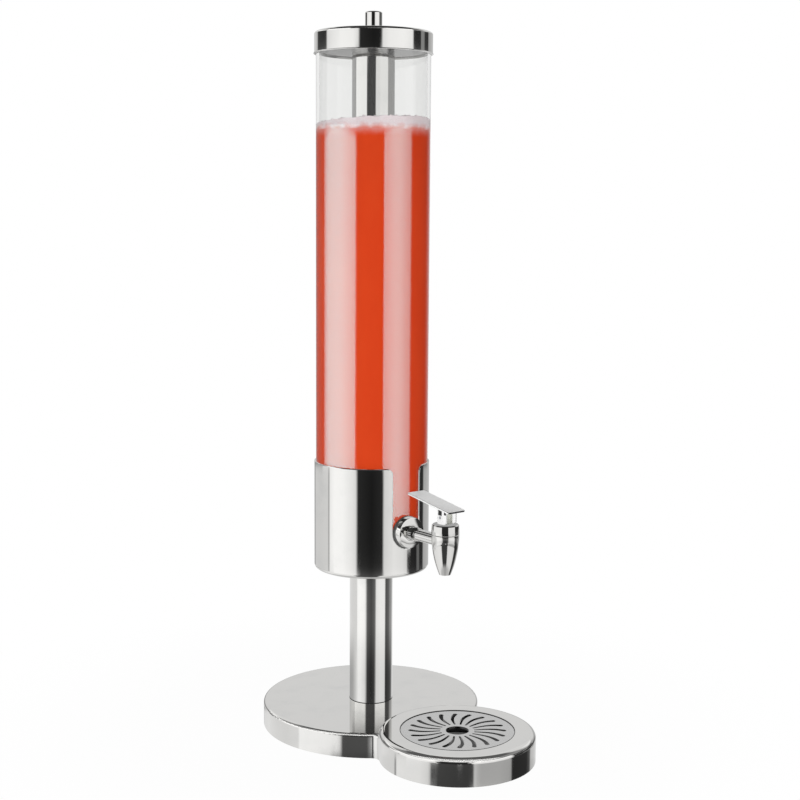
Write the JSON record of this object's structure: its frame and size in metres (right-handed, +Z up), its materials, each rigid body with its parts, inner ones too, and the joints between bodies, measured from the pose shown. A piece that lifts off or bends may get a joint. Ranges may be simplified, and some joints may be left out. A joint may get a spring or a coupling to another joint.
{
  "type": "juice dispenser",
  "caption": "Countertop juice dispenser: clear tube in a steel cup on a column, flip-lever tap, lift-off lid with ice tube, and a round foot joined to a raised drip tray.",
  "frame": {"origin": "on the column's axis, at table level under the anti-slip mat", "axes": "+Z up along the column; the tap and the drip tray face -Y; X is across the front"},
  "size_m": [0.223, 0.3255, 0.7237],
  "materials": {
    "polished_steel": "mirror-polished stainless steel",
    "satin_steel": "satin stainless steel",
    "tap_chrome": "chromed",
    "zinc_steel": "zinc-plated",
    "clear_acrylic": "clear, glossy",
    "juice": "cloudy liquid",
    "black_rubber": "matte",
    "milky_silicone": "translucent, matte",
    "pale_plastic": "smooth moulded"
  },
  "bodies": {
    "stand": {"base_shell": "polished_steel", "base_stiffener": "zinc_steel", "base_plate": "zinc_steel", "base_pillars": "zinc_steel", "plate_screws": "zinc_steel", "anti_slip_mat": "black_rubber", "column_tube": "polished_steel", "column_foot_plug": "zinc_steel", "column_head_plug": "zinc_steel", "column_bolt": "zinc_steel", "column_washer": "zinc_steel", "cup_holder": "polished_steel", "cup_bolt": "zinc_steel", "cup_washer": "zinc_steel", "cup_pad": "black_rubber"},
    "drip_pan": {"drip_pan": "satin_steel"},
    "grille": {"drip_grille": "satin_steel"},
    "container": {"container_tube": "clear_acrylic", "container_floor": "clear_acrylic", "juice": "juice", "tap_gasket": "black_rubber", "tap_collar": "tap_chrome", "tap_shank": "tap_chrome", "inner_gasket": "black_rubber", "lock_nut": "zinc_steel", "tap_body": "tap_chrome", "tap_cap": "tap_chrome", "plunger_spring": "zinc_steel"},
    "plunger": {"plunger_stem": "pale_plastic", "plunger_seal": "milky_silicone", "lever_pin": "zinc_steel"},
    "lever": {"tap_lever": "satin_steel"},
    "lid": {"lid_cap": "polished_steel", "lid_plug": "satin_steel", "lid_seal": "milky_silicone", "lid_knob": "polished_steel", "knob_screw": "zinc_steel", "ice_socket": "zinc_steel", "ice_tube": "polished_steel", "ice_tube_cap": "polished_steel"}
  },
  "joints": [
    {"name": "container_lift", "type": "slide", "parent": "stand", "child": "container", "axis": [0, 0, 1], "range_m": [0, 0.13]},
    {"name": "lid_lift", "type": "slide", "parent": "container", "child": "lid", "axis": [0, 0, 1], "range_m": [0, 0.52]},
    {"name": "drip_pan_lift", "type": "slide", "parent": "stand", "child": "drip_pan", "axis": [0, 0, 1], "range_m": [0, 0.04]},
    {"name": "grille_lift", "type": "slide", "parent": "drip_pan", "child": "grille", "axis": [0, 0, 1], "range_m": [0, 0.03]},
    {"name": "plunger_lift", "type": "slide", "parent": "container", "child": "plunger", "axis": [0, 0, 1], "range_m": [0, 0.0025], "deforming": ["plunger_spring"]},
    {"name": "lever_flip", "type": "hinge", "parent": "plunger", "child": "lever", "pos_m": [0, -0.1165, 0.2365], "axis": [1, 0, 0], "range_deg": [0, 45], "stiffness_Nm_per_rad": 0.0061, "springref_deg": -72}
  ],
  "couplings": [
    {"joint": "plunger_lift", "follows": "lever_flip", "m_per_rad": 0.003183}
  ]
}
